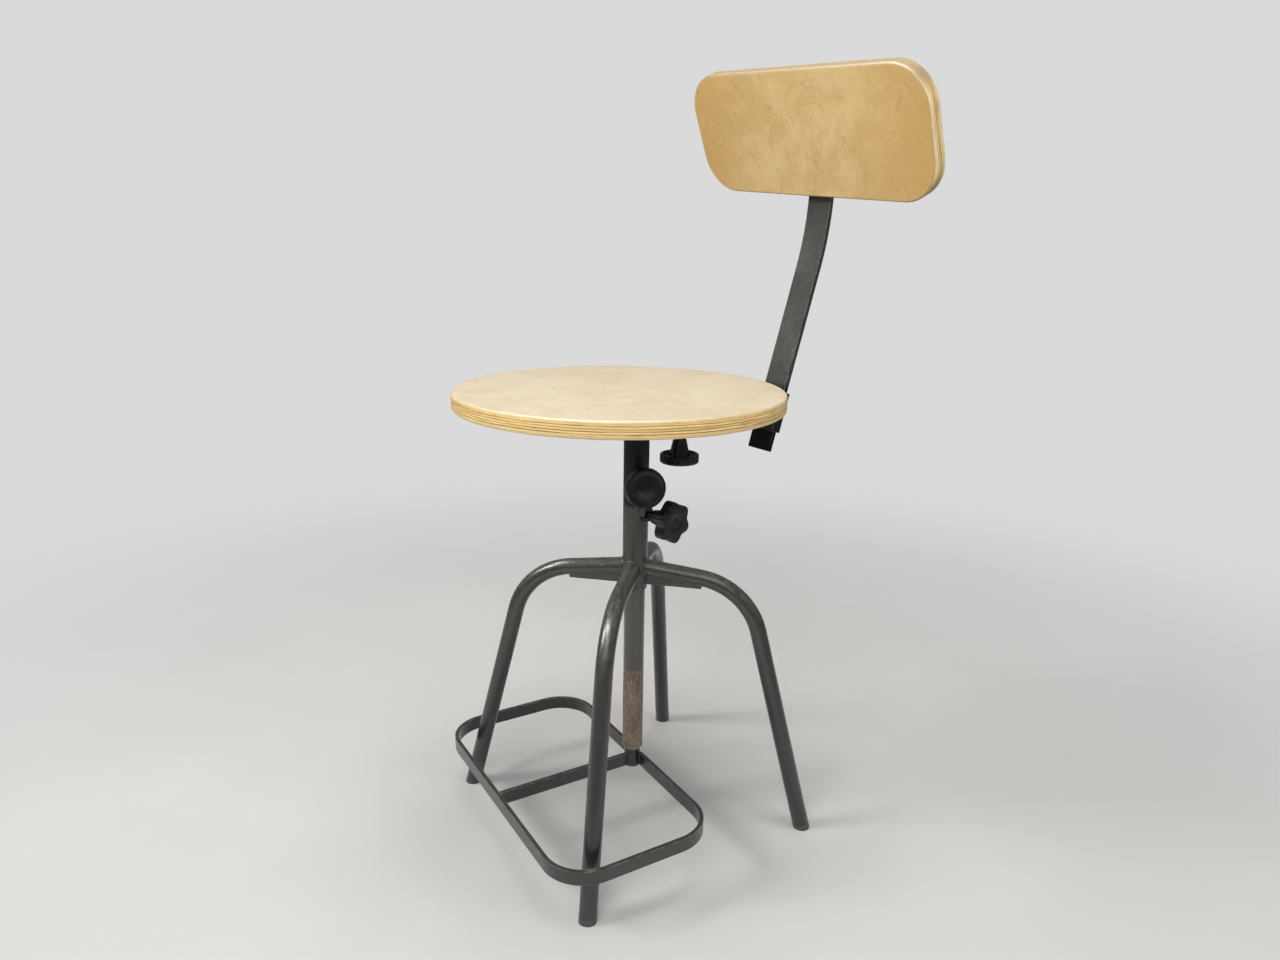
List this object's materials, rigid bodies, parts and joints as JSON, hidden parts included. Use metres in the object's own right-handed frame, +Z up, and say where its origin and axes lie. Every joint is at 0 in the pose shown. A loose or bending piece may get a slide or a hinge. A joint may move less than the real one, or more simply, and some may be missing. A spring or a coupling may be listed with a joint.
{
  "type": "swivel chair",
  "caption": "Workshop swivel chair with a round plywood seat, a pivoting plywood backrest, four bent tube legs and a footrest on the sliding post.",
  "frame": {"origin": "centre of the footprint box, on the floor that the four feet stand on", "axes": "+Z up, the sitter faces -Y, +X to the left of someone who looks at the chair from the front"},
  "size_m": [0.4132, 0.5262, 0.9757],
  "materials": {
    "paint": "semi-gloss, worn",
    "plywood": "satin varnish",
    "steel": "plain",
    "knob_plastic": "satin",
    "cap_plastic": "matt"
  },
  "bodies": {
    "base": {"hub_tube": "paint", "height_clamp_nut": "paint", "rear_right_leg": "paint", "rear_left_leg": "paint", "front_left_leg": "paint", "front_right_leg": "paint", "rear_right_gusset": "paint", "rear_left_gusset": "paint", "front_left_gusset": "paint", "front_right_gusset": "paint", "rear_right_foot_cap": "cap_plastic", "rear_left_foot_cap": "cap_plastic", "front_left_foot_cap": "cap_plastic", "front_right_foot_cap": "cap_plastic"},
    "post": {"post_tube": "paint", "footrest_stub": "paint", "footrest_loop": "paint", "footrest_spoke": "paint"},
    "seat": {"seat_tube": "paint", "swivel_clamp_nut": "paint", "slide_guide": "paint", "depth_clamp_nut": "paint", "seat_plate": "paint", "seat_board": "plywood", "seat_screws": "steel"},
    "slide": {"slide_bar": "paint", "upright_socket": "paint", "socket_nut": "paint", "socket_screw": "steel"},
    "upright": {"upright_bar": "paint", "pivot_tube": "paint"},
    "backrest": {"back_board": "plywood", "back_bracket": "paint", "back_screws": "steel", "pivot_bolt": "steel", "pivot_nut": "steel"},
    "height_clamp": {"height_knob": "knob_plastic", "height_stud": "steel"},
    "swivel_clamp": {"swivel_knob": "knob_plastic", "swivel_stud": "steel"},
    "depth_clamp": {"depth_knob": "knob_plastic", "depth_stud": "steel"}
  },
  "joints": [
    {"name": "height", "type": "slide", "parent": "base", "child": "post", "axis": [0, 0, 1], "range_m": [0, 0.2]},
    {"name": "swivel", "type": "hinge", "parent": "post", "child": "seat", "pos_m": [-0.00557, -0.03714, 0.48], "axis": [0, 0, 1], "continuous": true},
    {"name": "seat_depth", "type": "slide", "parent": "seat", "child": "slide", "axis": [0, 1, 0], "range_m": [-0.045, 0.05]},
    {"name": "back_height", "type": "slide", "parent": "slide", "child": "upright", "axis": [0, 0.289, 0.9573], "range_m": [-0.1, 0.025]},
    {"name": "back_tilt", "type": "hinge", "parent": "upright", "child": "backrest", "pos_m": [-0.00557, 0.24409, 0.90152], "axis": [-1, 0, 0], "range_deg": [0, 45]},
    {"name": "height_clamp_turn", "type": "hinge", "parent": "base", "child": "height_clamp", "pos_m": [0.02406, -0.03245, 0.422], "axis": [-0.9877, -0.1564, 0], "range_deg": [-360, 72]},
    {"name": "swivel_clamp_turn", "type": "hinge", "parent": "seat", "child": "swivel_clamp", "pos_m": [0.02234, -0.04813, 0.464], "axis": [-0.9304, 0.3665, 0], "range_deg": [-360, 72]},
    {"name": "depth_clamp_turn", "type": "hinge", "parent": "seat", "child": "depth_clamp", "pos_m": [-0.00557, 0.03056, 0.5], "axis": [0, 0, 1], "range_deg": [-360, 72]}
  ]
}
